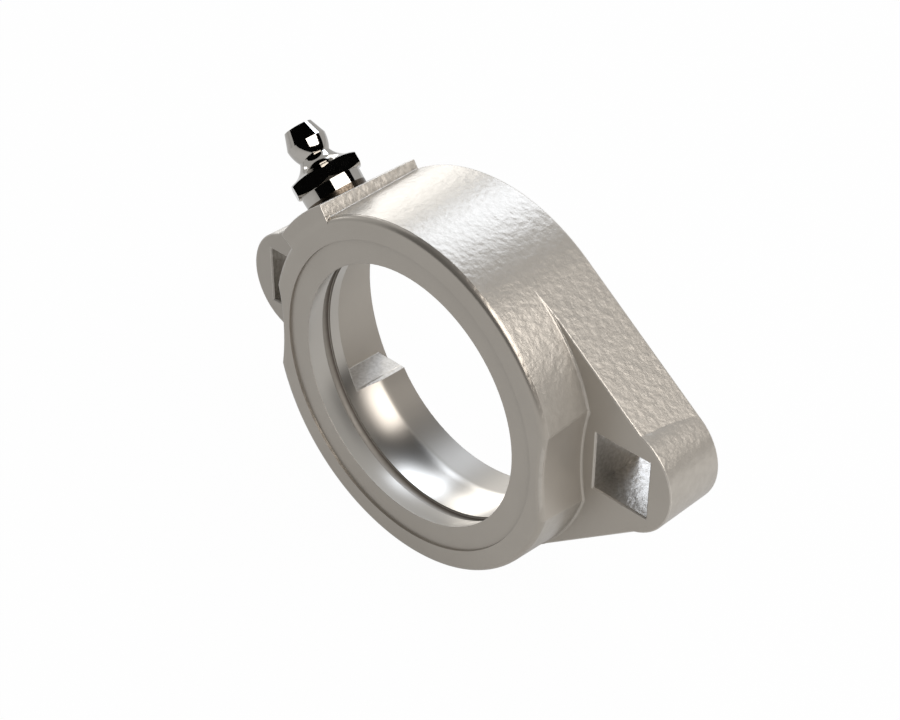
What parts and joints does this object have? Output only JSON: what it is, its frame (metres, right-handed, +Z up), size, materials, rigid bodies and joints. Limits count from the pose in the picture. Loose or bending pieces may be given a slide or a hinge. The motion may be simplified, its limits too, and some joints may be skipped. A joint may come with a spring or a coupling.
{
  "type": "flange bearing housing",
  "caption": "Cast rhombic flange with a short round barrel, a spherical seat for an insert bearing, square bolt holes in its ears and an angled grease fitting",
  "frame": {"origin": "the centre of the spherical bearing seat, on the bore axis, 11.6 mm in front of the mounting face", "axes": "+Y runs along the bore from the front ring to the mounting face, X runs through both bolt holes, +Z is up with the grease fitting at the upper left seen from the front"},
  "size_m": [0.09, 0.0199, 0.0638],
  "materials": {
    "casting": "machined faces and seat, cast sides",
    "plated_steel": "bright plated steel",
    "hard_steel": "polished hard steel",
    "spring_wire": "drawn spring wire"
  },
  "bodies": {
    "casting": {"housing": "casting", "grease_fitting_body": "plated_steel", "check_spring": "spring_wire"},
    "ball": {"check_ball": "hard_steel"}
  },
  "joints": [
    {"name": "check_ball_slide", "type": "slide", "parent": "casting", "child": "ball", "axis": [0.7071, 0, -0.7071], "range_m": [0, 0.0008], "stiffness_N_per_m": 350, "springref_m": -0.002, "deforming": ["check_spring"]}
  ]
}
